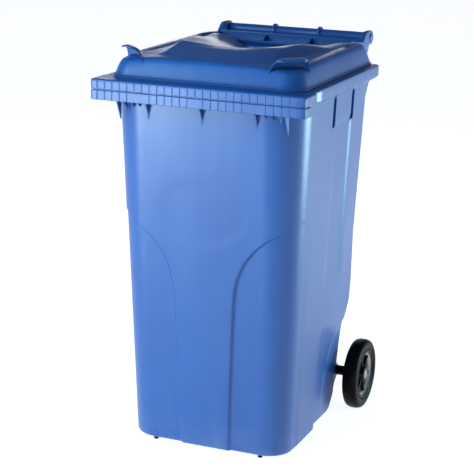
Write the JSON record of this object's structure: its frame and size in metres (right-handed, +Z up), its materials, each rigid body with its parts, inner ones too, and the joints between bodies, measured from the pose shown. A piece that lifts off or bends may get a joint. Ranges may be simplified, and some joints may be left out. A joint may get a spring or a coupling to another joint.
{
  "type": "wheelie bin",
  "caption": "Two-wheeled refuse bin of about 240 litres with a ribbed lifting comb, a hinged domed lid, corner grips and a rear handle bar.",
  "frame": {"origin": "on the ground at the middle of the bin's footprint", "axes": "+X to the bin's right seen from the front, +Y to the rear where the handle and wheels are, +Z up"},
  "size_m": [0.582, 0.734, 1.0719],
  "materials": {
    "blue_plastic": "blue polyethylene, satin to semi-gloss as moulded",
    "black_plastic": "black, smooth moulded",
    "tyre_rubber": "black solid rubber, smooth and slightly worn",
    "grey_plastic": "grey, satin",
    "steel": "zinc plated"
  },
  "bodies": {
    "container": {"container": "blue_plastic", "axle": "steel", "hinge_pin_left": "blue_plastic", "hinge_pin_right": "blue_plastic", "spacer_sleeve_left": "black_plastic", "spacer_sleeve_right": "black_plastic", "washer_left": "steel", "washer_right": "steel", "retaining_clip_left": "steel", "retaining_clip_right": "steel", "foot_front_left": "black_plastic", "foot_front_right": "black_plastic", "foot_side_left": "black_plastic", "foot_side_right": "black_plastic"},
    "lid": {"lid": "blue_plastic"},
    "wheel_left": {"wheel_hub_left": "black_plastic", "tyre_left": "tyre_rubber", "hub_cap_left": "grey_plastic"},
    "wheel_right": {"wheel_hub_right": "black_plastic", "tyre_right": "tyre_rubber", "hub_cap_right": "grey_plastic"}
  },
  "joints": [
    {"name": "lid_hinge", "type": "hinge", "parent": "container", "child": "lid", "pos_m": [0, 0.347, 1.0475], "axis": [-1, 0, 0], "range_deg": [0, 270]},
    {"name": "wheel_left_spin", "type": "hinge", "parent": "container", "child": "wheel_left", "pos_m": [-0.268, 0.216, 0.1], "axis": [1, 0, 0], "continuous": true},
    {"name": "wheel_right_spin", "type": "hinge", "parent": "container", "child": "wheel_right", "pos_m": [0.268, 0.216, 0.1], "axis": [1, 0, 0], "continuous": true}
  ]
}
